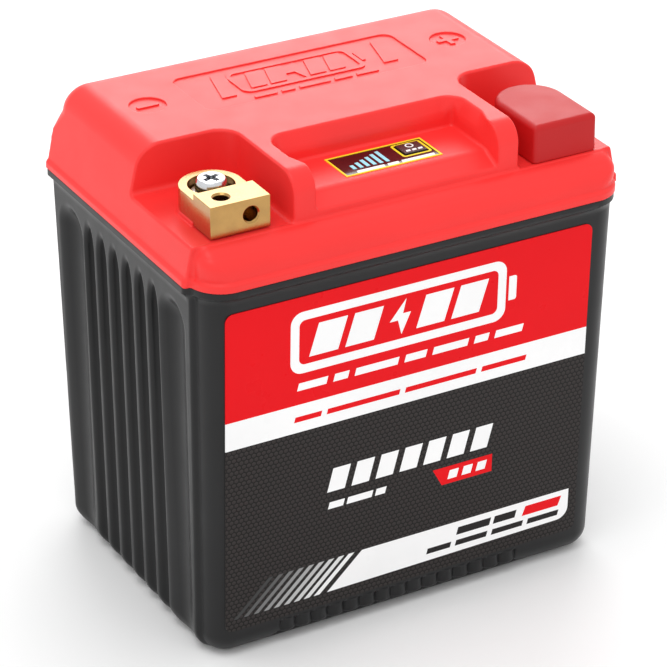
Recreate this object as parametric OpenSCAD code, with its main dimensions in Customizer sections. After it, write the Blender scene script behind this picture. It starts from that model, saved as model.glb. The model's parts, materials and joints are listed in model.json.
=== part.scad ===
// Lithium motorcycle battery: tub, lid, cell pack, electronics and two screw terminals.
// Origin at the centre of the base, X along the long side, -Y towards the label, +Z up.

/* [Overall] */
// Length over the end panels at the flange
overall_l = 166; // [160:1:176]
// Width over the flange
overall_w = 126; // [124:1:132]
// Height of the seam between case and lid
seam_h = 142; // [138:1:150]
// Height of the lid above the seam
lid_h = 30.5; // [29:0.5:34]

/* [Case] */
// Wall left behind the flutes of the end panels
wall = 2; // [1.6:0.1:2.2]
// Thickness of the floor
floor_t = 3; // [2:0.5:4]
// Radius of the bottom edges
corner_r = 8; // [6:1:9]
// Radius of the upright corners at the flange
flange_r = 12; // [8:1:12]
// How far the end panels stand out from the corner posts
panel_proud = 2.2; // [1:0.2:3]
// Half the width of an end panel at the seam
panel_half = 52.5; // [50:0.5:54]
// Inward lean of each end, from seam to base
draft_end = 1.8; // [0:0.2:2.4]
// Inward lean of the front and back, from seam to base
draft_side = 3.8; // [2:0.2:4]
// Height of the collar under the seam
collar_h = 2.4; // [1:0.2:4]
// Distance between two flutes
flute_pitch = 9.7; // [9:0.1:10]
// Number of narrow flutes on an end panel
flute_count = 6; // [4:2:6]
// Radius of a narrow flute
flute_r = 3.4; // [2.5:0.1:3.6]
// Distance from the seam to the top of the flutes
flute_drop = 11; // [9:1:20]
// Number of half-round teeth along a bottom edge
tooth_count = 15; // [11:1:15]
// Distance between two teeth
tooth_pitch = 6.3; // [6:0.1:6.5]
// Clearance between teeth and ground
tooth_lift = 3; // [1:0.5:4]

/* [Lid] */
// Thickness of the lid's walls
lid_wall = 2.4; // [2:0.1:3]
// Height of the flange band at the seam
flange_h = 3; // [2:0.5:4]
// Height of the terminal ledges above the seam
ledge_h = 13.6; // [13:0.2:15]
// Radius of the rolled front and rear edges
roll_r = 10; // [8:0.5:10]
// Inner face of each terminal notch, from the centre
notch_x = 42.6; // [41:0.2:44]
// Back wall of the terminal notches
notch_y = -8; // [-10:1:-4]
// Height of the recess floor above the seam
recess_h = 20; // [19:0.5:22]
// Half the width of the indicator recess
recess_x = 34.2; // [33:0.1:36]
// Back wall of the indicator recess
recess_y = -23.5; // [-25:0.5:-20]

/* [Terminals] */
// Distance of each terminal from the centre
term_x = 61.1; // [59:0.1:62]
// Centre of the round end of each terminal
term_y = -30.5; // [-32:0.5:-29]
// Width of a terminal block
block_w = 21.6; // [20:0.2:22]
// Height of the front part of a terminal block
block_h = 11.2; // [10:0.2:12]
// Radius of the M6 tapped holes for the cable bolts
tap_r = 2.5; // [2.4:0.05:2.6]
// Radius of the terminal screw's shank
screw_r = 2.65; // [2.5:0.05:2.9]

/* [Cells] */
// Diameter of a cell
cell_d = 32.2; // [31:0.1:32.4]
// Height of a cell
cell_h = 70.5; // [65:0.5:72]
// Distance between two cells
cell_pitch = 33.5; // [33.2:0.1:33.6]

/* [Hidden] */
$fn = 48;
eps = 0.01;
tiny = 0.05;
CELL_COLS = 4;
CELL_ROWS = 3;
cell_names = [for (i = [1:CELL_COLS * CELL_ROWS]) str("cell_", i)];

// Outline sizes at the flange and of the body below it
half_l = overall_l / 2;
half_w = overall_w / 2;
post_half_l = half_l - panel_proud - 0.3;
body_half_l = half_l - 2.4;
body_half_w = half_w - 2;
body_corner_r = 11;
collar_gap = 0.3;

// Flutes and coves of the end panels
cove_r = 10.4;
cove_depth = 3.2;
cove_y = flute_count / 2 * flute_pitch + 9.1;

// Tooth rows
tooth_r = tooth_pitch / 2;
tooth_mid_x = -4;
tooth_row = tooth_count * tooth_pitch;
tooth_top = 9;
foot_relief = 1;
tooth_y = body_half_w - draft_side - tooth_r + 0.6;

// Inside of the case
cavity_flare_l = 1.6;
cavity_flare_w = 5.2;
cavity_half_l = body_half_l - draft_end / 2 - cove_depth - wall - cavity_flare_l;
cavity_half_w = tooth_y - wall;
cavity_corner_r = 5;

// Seal groove in the rim of the case
seal_half_l = 77.4;
seal_half_w = 60.4;
seal_w = 1.6;
seal_d = 1.6;

// Label: a thin sheet that follows the lean of the front
label_left = -72.5;
label_right = 67.6;
label_bottom = 10.8;
label_top = 133.6;
label_t = 0.3;
label_r = 3;
lean = atan(draft_side / seam_h);

// Lid profiles, heights from the seam
block_inset = 1.4;
side_low_x = half_l - 0.8;
side_ledge_x = half_l - 2.4;
side_high_x = half_l - 4.8;
block_half_l = post_half_l - block_inset;
block_half_w = half_w - block_inset;
shoulder_r = 7.6;
plateau_edge_r = 7.5;
post_roll_r = 5.5;
ledge_under = ledge_h - lid_wall;
recess_edge_h = 6;
recess_edge_w = 2.5;
recess_ramp_y = -44.6;
recess_lip_z = 17;
notch_r = 8;
recess_r = 6;
badge_half_l = 42.9;
badge_y0 = 6;
badge_y1 = 35.3;
badge_d = 0.5;
mark_x = 58.6;
mark_y = 20.4;
mark_r = 6.2;
mark_d = 0.6;
mark_bar = 8;
mark_bar_w = 1.8;

// Terminal stack, heights from the seam
boss_h = ledge_h + 1.6;
block_z = ledge_h + 0.5;
block_top = block_z + block_h;
step_top = block_top - 2.2;
block_back = block_w / 2;
step_y = term_y - 8.2;
block_front = step_y - 12;
pocket_r = 7.8;
pocket_z = step_top - 4.4;
washer_r = 7.2;
washer_t = 1.6;
head_r = 5.4;
head_z = pocket_z + washer_t;
head_top = block_top + 0.1;
bore_gap = 0.05;
shank_clear = 0.5;
screw_len = 13;
post_r = 6;
post_flange_r = 8.5;
post_flange_t = 2.2;
post_low = ledge_under - 5;
hole_off_x = 3.9;
side_hole_z = block_z + block_h / 2;
side_hole_depth = 10;
thread_chamfer = 0.6;

// Positive cap
cap_wall = 1.4;
cap_top_wall = 1;
cap_gap = 0.3;
cap_headroom = 0.9;
cap_low = ledge_h + 0.3;
cap_in_r = block_w / 2 + cap_gap;
cap_r = cap_in_r + cap_wall;
cap_in_top = head_top + cap_headroom;
cap_top = cap_in_top + cap_top_wall;
cap_front = block_front - cap_gap - cap_wall;

// Indicator
disp_x = 1;
disp_y = -34.4;
disp_l = 36.6;
disp_w = 15.1;
disp_border = 0.7;
disp_t = 0.5;
button_x = 12.4;
button_y = -33;
button_l = 8.6;
button_w = 7.2;
button_gap = 0.3;
button_top = 0.7;
button_low = -3;
button_rim = 1;
button_rim_t = 0.5;
bar_count = 6;
bar_pitch = 2.5;
bar_w = 1.3;
bar_first_x = -12.4;
bar_first_h = 3;
bar_step = 1.1;
board_l = 46;
board_w = 22;
pcb_t = 1.6;
boss_drop = 3.8;
ind_screw_x = 20;
ind_screw_y = 8;
recess_under = recess_h - lid_wall;

// Pack levels
pad_top = floor_t + 6;
plate_t = 0.5;
cell_z = pad_top + plate_t;
cell_top = cell_z + cell_h;
holder_h = 10;
insulator_t = 0.5;
board_z = cell_top + 8;
board_half_l = 46;
board_half_w = 32;
standoff_r = 2.6;
standoff_x = cell_pitch;
standoff_y = cell_pitch / 2;
strap_t = 1.5;
strap_w = 11;
strap_leg_x = 69;
lead_r = 0.7;
lead_foot_y = -17;
foam_lift = 7.5;
foam_front = -5;
foam_back = 43;

// ---------------------------------------------------------------- helpers

// Points of an arc in degrees
function arc(cx, cy, r, a0, a1, n = 8) =
    [for (i = [0:n]) [cx + r * cos(a0 + (a1 - a0) * i / n), cy + r * sin(a0 + (a1 - a0) * i / n)]];

// Mirrors a list of points left to right, keeping the outline in order
function flipped(pts) = [for (i = [len(pts) - 1:-1:0]) [-pts[i][0], pts[i][1]]];

// Rectangle with round corners, centred
module round_rect(hl, hw, r) {
    square([2 * (hl - r), 2 * hw], center = true);
    square([2 * hl, 2 * (hw - r)], center = true);
    for (sx = [-1, 1], sy = [-1, 1])
        translate([sx * (hl - r), sy * (hw - r)])
            circle(r);
}

// Outline of the flange: corner posts and end panels
module plan(grow = 0) {
    round_rect(post_half_l + grow, half_w + grow, flange_r);
    round_rect(half_l + grow, panel_half + grow, 1.5);
}

// Profile in X and Z, extruded along Y between -reach and reach
module along_y(pts, reach) {
    translate([0, reach, 0])
        rotate([90, 0, 0])
            linear_extrude(2 * reach)
                polygon(concat(pts, flipped(pts)));
}

// Profile in Y and Z, extruded along X between -reach and reach
module along_x(pts, reach) {
    rotate([0, 0, 90])
        along_y(pts, reach);
}

module box(lo, hi) {
    translate(lo)
        cube(hi - lo);
}

// Both terminals: the positive side is the mirror image of the negative side
module positive_side() {
    mirror([1, 0, 0])
        children();
}

// ---------------------------------------------------------------- case

// Half profile of an upright wall that leans out from base to seam, with a round bottom edge
function wall_profile(half, draft) = concat(
    [[0, 0]],
    arc(half - draft - corner_r, corner_r, corner_r, -90, 0),
    [[half, seam_h], [0, seam_h]]);

// Body between the end panels, with round corner posts
module post_block() {
    intersection() {
        along_y(wall_profile(post_half_l - 1.8, draft_end), half_w);
        along_x(wall_profile(body_half_w, draft_side), half_l);
        linear_extrude(seam_h)
            round_rect(post_half_l - 1.8, body_half_w, body_corner_r);
    }
}

// End panels, as long as the body, with square upright edges
module panel_block() {
    intersection() {
        along_y(wall_profile(body_half_l, draft_end), panel_half);
        along_x([[0, 0], [panel_half - draft_side, 0], [panel_half, seam_h], [0, seam_h]], half_l);
    }
}

module flutes() {
    mean_half_l = body_half_l - draft_end / 2;
    top = seam_h - flute_drop + 1;
    for (side = [-1, 1], i = [0:flute_count - 1])
        translate([side * (mean_half_l + 0.4), (i - (flute_count - 1) / 2) * flute_pitch, -1])
            cylinder(h = top, r = flute_r);
    for (side = [-1, 1], end = [-1, 1])
        translate([side * (mean_half_l - cove_depth + cove_r), end * cove_y, -1])
            cylinder(h = top, r = cove_r);
}

module tooth_rows() {
    left = tooth_mid_x - tooth_row / 2;
    right = tooth_mid_x + tooth_row / 2;
    for (side = [-1, 1])
        difference() {
            box([left, side > 0 ? tooth_y : -half_w, -1], [right, side > 0 ? half_w : -tooth_y, tooth_top]);
            for (i = [0:tooth_count - 1])
                translate([left + (i + 0.5) * tooth_pitch, side * tooth_y, tooth_lift])
                    cylinder(h = tooth_top, r = tooth_r - tiny);
        }
    // the floor between the feet is raised a little
    box([left, -tooth_y - 1, -1], [right, tooth_y + 1, foot_relief]);
}

module cavity() {
    intersection() {
        along_y([[0, floor_t], [cavity_half_l, floor_t],
                 [cavity_half_l + cavity_flare_l, seam_h + 1], [0, seam_h + 1]], half_w);
        along_x([[0, floor_t], [cavity_half_w, floor_t],
                 [cavity_half_w + cavity_flare_w, seam_h + 1], [0, seam_h + 1]], half_l);
        linear_extrude(seam_h + 1)
            round_rect(cavity_half_l + cavity_flare_l, cavity_half_w + cavity_flare_w, cavity_corner_r);
    }
}

module seal_ring(h, w) {
    linear_extrude(h)
        difference() {
            round_rect(seal_half_l + w / 2, seal_half_w + w / 2, flange_r - 2);
            round_rect(seal_half_l - w / 2, seal_half_w - w / 2, flange_r - 2 - w);
        }
}

module case() {
    color([0.16, 0.16, 0.17])
        difference() {
            union() {
                post_block();
                panel_block();
                translate([0, 0, seam_h - collar_h])
                    linear_extrude(collar_h)
                        plan(-collar_gap);
            }
            cavity();
            flutes();
            tooth_rows();
            translate([0, 0, seam_h - seal_d])
                seal_ring(seal_d + 1, seal_w + 0.1);
        }
}

module lid_seal() {
    color([0.25, 0.25, 0.27])
        translate([0, 0, seam_h - seal_d])
            seal_ring(seal_d, seal_w);
}

module front_label() {
    color([0.85, 0.05, 0.08])
        translate([0, -(body_half_w - draft_side), 0])
            rotate([90 + lean, 0, 0])
                translate([(label_left + label_right) / 2, (label_bottom + label_top) / 2, tiny])
                    linear_extrude(label_t)
                        round_rect((label_right - label_left) / 2, (label_top - label_bottom) / 2, label_r);
}

// ---------------------------------------------------------------- lid

// Outer surface of the lid, seam at z = 0
module lid_outer() {
    roll_mid = ledge_h - roll_r;
    linear_extrude(flange_h)
        plan();
    intersection() {
        along_x(concat([[0, 0], [block_half_w, 0]],
                       arc(block_half_w - roll_r, roll_mid, roll_r, 0, 90), [[0, ledge_h]]), half_l);
        along_y(concat([[0, 0], [block_half_l, 0]],
                       arc(block_half_l - post_roll_r, ledge_h - post_roll_r, post_roll_r, 0, 90),
                       [[0, ledge_h]]), half_w);
        linear_extrude(ledge_h)
            round_rect(block_half_l, block_half_w, flange_r);
    }
    intersection() {
        along_y(concat([[0, 0], [side_low_x, 0], [side_low_x, flange_h], [side_ledge_x, ledge_h]],
                       arc(side_high_x - shoulder_r, lid_h - shoulder_r, shoulder_r, 0, 90),
                       [[0, lid_h]]), panel_half);
        along_x(concat([[0, 0], [panel_half, 0]],
                       arc(panel_half - plateau_edge_r, lid_h - plateau_edge_r, plateau_edge_r, 0, 90),
                       [[0, lid_h]]), half_l);
    }
}

// Terminal notch on the negative side
module notch() {
    translate([0, 0, ledge_h])
        linear_extrude(lid_h)
            difference() {
                translate([-half_l - 5, -half_w])
                    square([half_l + 5 - notch_x, half_w + notch_y]);
                difference() {
                    translate([-notch_x - notch_r, notch_y - notch_r])
                        square(notch_r + 1);
                    translate([-notch_x - notch_r, notch_y - notch_r])
                        circle(notch_r);
                }
            }
}

// Recess for the indicator, open to the front
module indicator_recess() {
    edge_low = lid_h - recess_edge_h;
    edge_high = lid_h + 0.1 * recess_edge_h;
    edge_out = 1.1 * recess_edge_w;
    translate([0, 0, recess_h])
        linear_extrude(lid_h)
            translate([0, (recess_y - half_w) / 2])
                round_rect(recess_x, (recess_y + half_w) / 2, recess_r);
    intersection() {
        rotate([90, 0, 90])
            linear_extrude(2 * recess_x, center = true)
                polygon([[-half_w, recess_lip_z], [-panel_half, recess_lip_z], [recess_ramp_y, recess_h],
                         [recess_ramp_y, recess_h + 1], [-half_w, recess_h + 1]]);
        box([-recess_x, -half_w, 0], [recess_x, 0, lid_h]);
    }
    // sloping upper edge of the side and back walls
    intersection() {
        along_y([[0, edge_low], [recess_x, edge_low], [recess_x + edge_out, edge_high], [0, edge_high]],
                half_w);
        rotate([90, 0, 90])
            linear_extrude(overall_l, center = true)
                polygon([[-half_w, edge_low], [recess_y, edge_low], [recess_y + edge_out, edge_high],
                         [-half_w, edge_high]]);
    }
}

// Minus or plus sign standing in a shallow round dish
module mark_dish(plus) {
    translate([0, 0, lid_h - mark_d])
        linear_extrude(mark_d + 1)
            difference() {
                circle(mark_r);
                square([mark_bar, mark_bar_w], center = true);
                if (plus)
                    square([mark_bar_w, mark_bar], center = true);
            }
}

// Hollow inside the lid, following its outer surface
module lid_cavity() {
    in_half_w = block_half_w - lid_wall;
    in_post = block_half_l - lid_wall;
    in_roll = roll_r - lid_wall;
    roll_mid = ledge_h - roll_r;
    translate([0, 0, -eps])
        intersection() {
            along_x(concat([[0, 0], [in_half_w, 0]],
                           arc(in_half_w - in_roll, roll_mid, in_roll, 0, 90), [[0, ledge_under]]), half_l);
            along_y([[0, 0], [in_post, 0], [in_post, roll_mid], [in_post - 6, ledge_under],
                     [0, ledge_under]], half_w);
            linear_extrude(ledge_h)
                round_rect(in_post, in_half_w, flange_r - lid_wall);
        }
    difference() {
        intersection() {
            along_y(concat([[0, -eps], [side_low_x - lid_wall - 1, -eps],
                            [side_ledge_x - lid_wall - 1, ledge_h]],
                           arc(side_high_x - shoulder_r, lid_h - shoulder_r, shoulder_r - lid_wall, 0, 90),
                           [[0, lid_h - lid_wall]]), panel_half - lid_wall);
            along_x(concat([[0, -1], [panel_half - lid_wall, -1]],
                           arc(panel_half - plateau_edge_r, lid_h - plateau_edge_r,
                               plateau_edge_r - lid_wall, 0, 90),
                           [[0, lid_h - lid_wall]]), half_l);
        }
        for (side = [-1, 1])
            box([side > 0 ? recess_x + 0.5 : -half_l, -half_w, ledge_under],
                [side > 0 ? half_l : -recess_x - 0.5, notch_y + lid_wall, lid_h]);
        box([-recess_x - 1, -half_w, recess_under], [recess_x + 1, recess_y + lid_wall + 2, lid_h]);
        box([-recess_x - 1, -half_w, recess_lip_z - lid_wall],
            [recess_x + 1, recess_ramp_y + lid_wall, lid_h]);
    }
}

// Round-backed raised pad that carries the rear of a terminal block
module terminal_boss() {
    boss_r = block_w / 2 + 0.4;
    boss_front = step_y - term_y + 0.1;
    translate([-term_x, term_y, ledge_h - 1])
        linear_extrude(boss_h - ledge_h + 1)
            intersection() {
                translate([-boss_r, boss_front])
                    square([2 * boss_r, boss_r - boss_front]);
                union() {
                    circle(boss_r);
                    translate([-boss_r, boss_front])
                        square([2 * boss_r, -boss_front]);
                }
            }
}

module at_indicator_screws() {
    for (sx = [-1, 1], sy = [-1, 1])
        translate([disp_x + sx * ind_screw_x, disp_y + sy * ind_screw_y, 0])
            children();
}

module lid() {
    color([0.93, 0.16, 0.16])
        translate([0, 0, seam_h])
            difference() {
                union() {
                    difference() {
                        lid_outer();
                        lid_cavity();
                        notch();
                        positive_side() notch();
                    }
                    terminal_boss();
                    positive_side() terminal_boss();
                    translate([0, 0, ledge_under - 1.5])
                        for (side = [-1, 1])
                            translate([side * term_x, term_y, 0])
                                cylinder(h = 2.5, r = post_flange_r + 2);
                    at_indicator_screws()
                        translate([0, 0, recess_under - boss_drop])
                            cylinder(h = boss_drop + 1, r = 2.4);
                }
                indicator_recess();
                translate([0, 0, lid_h - badge_d])
                    linear_extrude(badge_d + 1)
                        translate([0, (badge_y0 + badge_y1) / 2])
                            round_rect(badge_half_l, (badge_y1 - badge_y0) / 2, 4);
                translate([-mark_x, mark_y, 0])
                    mark_dish(false);
                translate([mark_x, mark_y, 0])
                    mark_dish(true);
                for (side = [-1, 1])
                    translate([side * term_x, term_y, 0]) {
                        cylinder(h = lid_h, r = post_r);
                        translate([0, 0, -1])
                            cylinder(h = ledge_under + 1, r = post_flange_r);
                    }
                translate([disp_x, disp_y, recess_h - disp_t])
                    linear_extrude(2)
                        square([disp_l, disp_w], center = true);
                translate([button_x, button_y, recess_h - 5])
                    linear_extrude(6)
                        square([button_l + 2 * button_gap, button_w + 2 * button_gap], center = true);
                at_indicator_screws()
                    translate([0, 0, recess_under - boss_drop - 1])
                        cylinder(h = boss_drop + 1, r = 0.95);
            }
}

// ---------------------------------------------------------------- indicator

module button_hole(grow) {
    translate([button_x, button_y])
        square([button_l + 2 * grow, button_w + 2 * grow], center = true);
}

module display_frame() {
    color([0.95, 0.8, 0.1])
        translate([0, 0, seam_h + recess_h - disp_t])
            linear_extrude(disp_t + 0.25)
                difference() {
                    translate([disp_x, disp_y])
                        square([disp_l, disp_w], center = true);
                    translate([disp_x, disp_y])
                        square([disp_l - 2 * disp_border, disp_w - 2 * disp_border], center = true);
                }
}

module display_lens() {
    color([0.2, 0.16, 0.18])
        translate([0, 0, seam_h + recess_h - disp_t])
            linear_extrude(disp_t + 0.1)
                difference() {
                    translate([disp_x, disp_y])
                        square([disp_l - 2 * disp_border, disp_w - 2 * disp_border], center = true);
                    button_hole(button_gap);
                }
}

module display_bars() {
    color([0.55, 0.85, 0.95])
        translate([0, 0, seam_h + recess_h + 0.1])
            linear_extrude(0.12)
                for (i = [0:bar_count - 1])
                    translate([bar_first_x + i * bar_pitch, disp_y - 3.6])
                        square([bar_w, bar_first_h + i * bar_step]);
}

// Push button with a rim that keeps it under the lid
module test_button() {
    color([0.8, 0.82, 0.8])
        translate([button_x, button_y, seam_h + recess_h + button_low]) {
            linear_extrude(button_top - button_low)
                square([button_l, button_w], center = true);
            linear_extrude(button_rim_t)
                square([button_l + 2 * button_rim, button_w + 2 * button_rim], center = true);
        }
}

module indicator_board() {
    color([0.05, 0.3, 0.15])
        translate([disp_x, disp_y, seam_h + recess_under - boss_drop - pcb_t])
            linear_extrude(pcb_t)
                difference() {
                    square([board_l, board_w], center = true);
                    for (sx = [-1, 1], sy = [-1, 1])
                        translate([sx * ind_screw_x, sy * ind_screw_y])
                            circle(1.2);
                }
}

module push_switch() {
    color([0.15, 0.15, 0.15])
        translate([button_x, button_y, seam_h + recess_under - boss_drop]) {
            linear_extrude(2.4)
                square(6, center = true);
            cylinder(h = 2.8, r = 1.7);
        }
}

module indicator_screws() {
    board_under = recess_under - boss_drop - pcb_t;
    color([0.75, 0.75, 0.78])
        translate([0, 0, seam_h])
            at_indicator_screws() {
                translate([0, 0, board_under - 1.3])
                    cylinder(h = 1.3, r = 1.9);
                translate([0, 0, board_under - eps])
                    cylinder(h = pcb_t + boss_drop - 1, r = 0.9);
            }
}

function unit(v) = v / norm(v);

// Direction of the cut at point i: half-way between the stretches that meet there
function cut_at(pts, i) =
    i == 0 ? unit(pts[1] - pts[0]) :
    i == len(pts) - 1 ? unit(pts[i] - pts[i - 1]) :
    unit(unit(pts[i] - pts[i - 1]) + unit(pts[i + 1] - pts[i]));

// Rings of a mitred tube: each ring is the one before it, pushed along its stretch to the next cut
function rings(pts, ring, i = 0) =
    i == len(pts) - 1 ? [ring] :
    let (d = unit(pts[i + 1] - pts[i]), t = cut_at(pts, i + 1))
    concat([ring], rings(pts, [for (q = ring) q + d * (((pts[i + 1] - q) * t) / (d * t))], i + 1));

// Tube through a list of points
module lead(pts, r, sides = 8) {
    d = unit(pts[1] - pts[0]);
    u = unit(cross(d, abs(d[2]) > 0.8 ? [1, 0, 0] : [0, 0, 1]));
    v = cross(d, u);
    first = [for (k = [0:sides - 1]) pts[0] + r * (cos(360 * k / sides) * u + sin(360 * k / sides) * v)];
    all = rings(pts, first);
    points = [for (ring = all, q = ring) q];
    last = (len(pts) - 1) * sides;
    polyhedron(points, concat(
        [[for (k = [0:sides - 1]) k]],
        [for (i = [0:len(pts) - 2], k = [0:sides - 1], a = i * sides, n = (k + 1) % sides)
            [a + k, a + sides + k, a + sides + n, a + n]],
        [[for (k = [sides - 1:-1:0]) last + k]]));
}

module indicator_lead() {
    board_under = seam_h + recess_under - boss_drop - pcb_t;
    x = disp_x - 6;
    color([0.1, 0.1, 0.1])
        lead([[x, disp_y, board_under], [x, disp_y, board_under - 8],
              [x, lead_foot_y, board_under - 20], [x, lead_foot_y, board_z + pcb_t]], 1.4);
}

// ---------------------------------------------------------------- terminals

// Terminal block: low round-backed part with the screw pocket, higher square front part
module terminal_block() {
    translate([0, 0, seam_h])
        difference() {
            union() {
                translate([-term_x, term_y, boss_h])
                    linear_extrude(step_top - boss_h) {
                        circle(block_back);
                        translate([-block_w / 2, step_y - term_y])
                            square([block_w, term_y - step_y]);
                    }
                box([-term_x - block_w / 2, block_front, block_z],
                    [-term_x + block_w / 2, step_y, block_top]);
            }
            translate([-term_x, term_y, pocket_z])
                cylinder(h = lid_h, r = pocket_r);
            translate([-term_x, term_y, 0])
                cylinder(h = lid_h, r = screw_r + shank_clear);
            translate([-term_x - hole_off_x, (block_front + step_y) / 2, 0]) {
                translate([0, 0, block_z - 1])
                    cylinder(h = block_h + 2, r = tap_r);
                translate([0, 0, block_top - thread_chamfer])
                    cylinder(h = thread_chamfer + tiny, r1 = tap_r, r2 = tap_r + thread_chamfer + tiny);
            }
            translate([-term_x + hole_off_x, block_front - 1, side_hole_z])
                rotate([-90, 0, 0])
                    cylinder(h = side_hole_depth + 1, r = tap_r);
            translate([-term_x + hole_off_x, block_front - tiny, side_hole_z])
                rotate([-90, 0, 0])
                    cylinder(h = thread_chamfer + tiny, r1 = tap_r + thread_chamfer + tiny, r2 = tap_r);
        }
}

module terminal_washer() {
    translate([-term_x, term_y, seam_h + pocket_z + eps])
        difference() {
            cylinder(h = washer_t - 2 * eps, r = washer_r);
            translate([0, 0, -1])
                cylinder(h = washer_t + 2, r = screw_r + bore_gap);
        }
}

// Cross-recess screw, head up
module terminal_screw() {
    translate([-term_x, term_y, seam_h])
        difference() {
            union() {
                translate([0, 0, head_z + eps])
                    cylinder(h = head_top - head_z - 1, r = head_r);
                translate([0, 0, head_top - 1])
                    cylinder(h = 1, r1 = head_r, r2 = head_r - 1);
                translate([0, 0, head_z - screw_len])
                    cylinder(h = screw_len + 1, r = screw_r);
            }
            for (turn = [0, 90])
                rotate([0, 0, turn + 20])
                    translate([0, 0, head_top])
                        cube([6, 1.2, 4.4], center = true);
        }
}

// Threaded brass post, moulded into the lid under each block
module terminal_post() {
    translate([-term_x, term_y, seam_h])
        difference() {
            union() {
                translate([0, 0, post_low])
                    cylinder(h = boss_h - post_low, r = post_r);
                translate([0, 0, ledge_under - post_flange_t])
                    cylinder(h = post_flange_t, r = post_flange_r);
            }
            translate([0, 0, post_low - 1])
                cylinder(h = lid_h, r = screw_r + bore_gap);
        }
}

module negative_terminal() {
    color([0.72, 0.55, 0.28])
        terminal_block();
}

module positive_terminal() {
    color([0.72, 0.55, 0.28])
        positive_side() terminal_block();
}

module negative_washer() {
    color([0.7, 0.7, 0.72])
        terminal_washer();
}

module positive_washer() {
    color([0.7, 0.7, 0.72])
        positive_side() terminal_washer();
}

module negative_screw() {
    color([0.8, 0.8, 0.82])
        terminal_screw();
}

module positive_screw() {
    color([0.8, 0.8, 0.82])
        positive_side() terminal_screw();
}

module negative_post() {
    color([0.72, 0.55, 0.28])
        terminal_post();
}

module positive_post() {
    color([0.72, 0.55, 0.28])
        positive_side() terminal_post();
}

// Round-backed outline of the cap around the positive block
module cap_outline(r, front) {
    circle(r);
    translate([-r, front - term_y])
        square([2 * r, term_y - front]);
}

module positive_cap() {
    color([0.72, 0.1, 0.1])
        translate([term_x, term_y, seam_h])
            difference() {
                translate([0, 0, cap_low])
                    linear_extrude(cap_top - cap_low)
                        cap_outline(cap_r, cap_front);
                translate([0, 0, cap_low - 1])
                    linear_extrude(cap_in_top - cap_low + 1)
                        cap_outline(cap_in_r, block_front - cap_gap);
                // the skirt steps over the raised pad of the lid
                translate([0, 0, cap_low - 1])
                    linear_extrude(boss_h + 0.3 - cap_low + 1)
                        cap_outline(cap_r - 0.55, block_front - cap_gap);
            }
}

// ---------------------------------------------------------------- pack

module at_cells() {
    for (i = [0:CELL_COLS - 1], j = [0:CELL_ROWS - 1])
        translate([(i - (CELL_COLS - 1) / 2) * cell_pitch, (j - (CELL_ROWS - 1) / 2) * cell_pitch, 0])
            children();
}

// Cell number n, counted along Y and then along X
module cell(n) {
    i = floor((n - 1) / CELL_ROWS);
    j = (n - 1) % CELL_ROWS;
    up = (i % 2 == 0) ? 0 : 1;
    x = (i - (CELL_COLS - 1) / 2) * cell_pitch;
    y = (j - (CELL_ROWS - 1) / 2) * cell_pitch;
    color([0.12, 0.3, 0.6])
        translate([x, y, cell_z]) {
            translate([0, 0, up > 0 ? 0 : 1.5])
                cylinder(h = cell_h - 1.5, d = cell_d);
            translate([0, 0, up > 0 ? cell_h - 1.5 : 0])
                cylinder(h = 1.5, r = 8);
        }
}

module base_pad() {
    color([0.3, 0.3, 0.32])
        translate([0, 0, floor_t])
            linear_extrude(pad_top - floor_t)
                round_rect(cavity_half_l - 1, cavity_half_w - 1, 4);
}

module cell_holder(z) {
    color([0.1, 0.1, 0.11])
        translate([0, 0, z])
            linear_extrude(holder_h)
                difference() {
                    round_rect(cell_pitch * CELL_COLS / 2 + 2, cell_pitch * CELL_ROWS / 2 + 1, 4);
                    at_cells()
                        circle(d = cell_d + 0.1);
                    for (sx = [-1, 1], sy = [-1, 1])
                        translate([sx * standoff_x, sy * standoff_y])
                            circle(1.3);
                }
}

module lower_cell_holder() {
    cell_holder(cell_z + 4);
}

module upper_cell_holder() {
    cell_holder(cell_top - holder_h - 4);
}

// Nickel plate that joins the columns from first to last
module bus_plate(z, first, last) {
    x0 = (first - (CELL_COLS - 1) / 2) * cell_pitch - 13;
    x1 = (last - (CELL_COLS - 1) / 2) * cell_pitch + 13;
    color([0.78, 0.77, 0.72])
        box([x0, -cell_pitch - 12, z], [x1, cell_pitch + 12, z + plate_t]);
}

// Tab at the back edge of a lower plate, where its sense lead ends
module lower_tab(side) {
    color([0.78, 0.77, 0.72])
        translate([side * cell_pitch, 0, cell_z - plate_t])
            box([-2.5, cell_pitch + 11, 0], [2.5, cavity_half_w - 0.1, plate_t]);
}

module lower_bus_plate_a() {
    bus_plate(cell_z - plate_t, 0, 1);
    lower_tab(-1);
}

module lower_bus_plate_b() {
    bus_plate(cell_z - plate_t, 2, 3);
    lower_tab(1);
}

module upper_bus_plate_a() {
    bus_plate(cell_top, 0, 0);
}

module upper_bus_plate_b() {
    bus_plate(cell_top, 1, 2);
}

module upper_bus_plate_c() {
    bus_plate(cell_top, 3, 3);
}

module at_standoffs() {
    for (sx = [-1, 1], sy = [-1, 1])
        translate([sx * standoff_x, sy * standoff_y, 0])
            children();
}

module cell_insulator() {
    color([0.85, 0.8, 0.65])
        translate([0, 0, cell_top + plate_t])
            linear_extrude(insulator_t)
                difference() {
                    round_rect(66, 49, 3);
                    at_standoffs()
                        circle(standoff_r + 0.3);
                    translate([45, term_y - strap_w / 2 - 1])
                        square([30, strap_w + 2]);
                    translate([-62, 9])
                        square([18, strap_w + 2]);
                    for (x = [-1.5 * cell_pitch, 0, 1.5 * cell_pitch])
                        translate([x, cell_pitch + 8])
                            circle(2);
                }
}

module board_standoffs() {
    color([0.85, 0.85, 0.8])
        at_standoffs()
            translate([0, 0, cell_top - 4])
                difference() {
                    cylinder(h = board_z - cell_top + 4, r = standoff_r);
                    translate([0, 0, -1])
                        cylinder(h = 30, r = 1.3);
                }
}

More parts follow.
